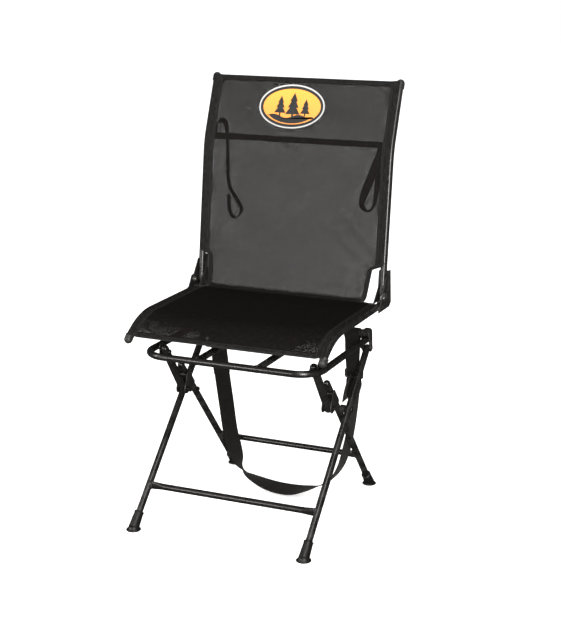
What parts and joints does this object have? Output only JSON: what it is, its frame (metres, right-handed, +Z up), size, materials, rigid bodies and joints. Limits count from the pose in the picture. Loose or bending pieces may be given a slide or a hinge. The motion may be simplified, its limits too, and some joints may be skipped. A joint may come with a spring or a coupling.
{
  "type": "folding swivel chair",
  "caption": "Folding X-leg hunting-blind chair with a swivelling mesh seat, a fold-down mesh back, a tube base loop and a webbing carry strap.",
  "frame": {"origin": "on the ground plane, under the middle of the chair's bounding box", "axes": "+Z up; the sitter looks along -Y; +X is on the right as seen from the front"},
  "size_m": [0.5076, 0.5474, 1.0018],
  "materials": {
    "black_metal": "semi-gloss black powder coat",
    "black_plastic": "moulded black plastic",
    "black_rubber": "matt black rubber",
    "bright_steel": "zinc-plated fastener",
    "black_mesh": "open woven PVC-coated mesh fabric",
    "black_webbing": "woven webbing"
  },
  "bodies": {
    "base": {"base_loop_tube": "black_metal", "rear_cross_tube": "black_metal", "swivel_rail_left": "black_metal", "swivel_rail_right": "black_metal", "swivel_lower_plate": "black_metal", "swivel_kingpin": "bright_steel", "leg_bracket_left": "black_metal", "leg_bracket_right": "black_metal", "leg_top_bolt_left": "bright_steel", "leg_top_bolt_right": "bright_steel", "link_hanger_left": "black_metal", "link_hanger_right": "black_metal", "strap_loop_left": "black_webbing", "strap_loop_right": "black_webbing", "carry_strap": "black_webbing", "strap_slider": "black_plastic"},
    "front_legs": {"front_leg_left": "black_metal", "front_leg_right": "black_metal", "front_crossbar": "black_metal", "front_boot_left": "black_rubber", "front_boot_right": "black_rubber", "leg_spacer_left": "black_plastic", "leg_spacer_right": "black_plastic", "leg_cross_bolt_left": "bright_steel", "leg_cross_bolt_right": "bright_steel"},
    "rear_legs": {"rear_leg_left": "black_metal", "rear_leg_right": "black_metal", "rear_crossbar": "black_metal", "rear_boot_left": "black_rubber", "rear_boot_right": "black_rubber", "link_bracket_left": "black_metal", "link_bracket_right": "black_metal", "leg_stop_left": "black_rubber", "leg_stop_right": "black_rubber", "link_low_bolt_left": "bright_steel", "link_low_bolt_right": "bright_steel"},
    "fold_links": {"fold_link_left": "black_metal", "fold_link_right": "black_metal", "link_top_bolt_left": "bright_steel", "link_top_bolt_right": "bright_steel"},
    "seat": {"swivel_upper_plate": "black_metal", "seat_rail_left": "black_metal", "seat_rail_right": "black_metal", "seat_rail_cap_left": "black_plastic", "seat_rail_cap_right": "black_plastic", "seat_cross_tube_front": "black_metal", "seat_cross_tube_rear": "black_metal", "back_hinge_bracket_left": "black_metal", "back_hinge_bracket_right": "black_metal", "back_hinge_pin_left": "bright_steel", "back_hinge_pin_right": "bright_steel", "seat_mesh": "black_mesh"},
    "back": {"back_rail_left": "black_metal", "back_rail_right": "black_metal", "back_rail_cap_left": "black_plastic", "back_rail_cap_right": "black_plastic", "back_cross_bar": "black_metal", "back_mesh": "black_mesh", "hang_loop_left": "black_webbing", "hang_loop_right": "black_webbing"}
  },
  "joints": [
    {"name": "seat_swivel", "type": "hinge", "parent": "base", "child": "seat", "pos_m": [0, -0.0187, 0.4218], "axis": [0, 0, 1], "continuous": true},
    {"name": "back_fold", "type": "hinge", "parent": "seat", "child": "back", "pos_m": [0, 0.1373, 0.506], "axis": [1, 0, 0], "range_deg": [0, 97]},
    {"name": "front_leg_fold", "type": "hinge", "parent": "base", "child": "front_legs", "pos_m": [0, 0.1273, 0.385], "axis": [-1, 0, 0], "range_deg": [0, 20.29]},
    {"name": "leg_cross_fold", "type": "hinge", "parent": "front_legs", "child": "rear_legs", "pos_m": [0, 0.00879, 0.26772], "axis": [-1, 0, 0], "range_deg": [0, 81], "deforming": ["carry_strap", "strap_loop_left", "strap_loop_right", "strap_slider"]},
    {"name": "link_fold", "type": "hinge", "parent": "rear_legs", "child": "fold_links", "pos_m": [0, -0.0507, 0.286], "axis": [1, 0, 0], "range_deg": [0, 144.96]}
  ],
  "couplings": [
    {"joint": "front_leg_fold", "follows": "leg_cross_fold", "ratio": 0.25037},
    {"joint": "link_fold", "follows": "leg_cross_fold", "ratio": 1.7894}
  ]
}
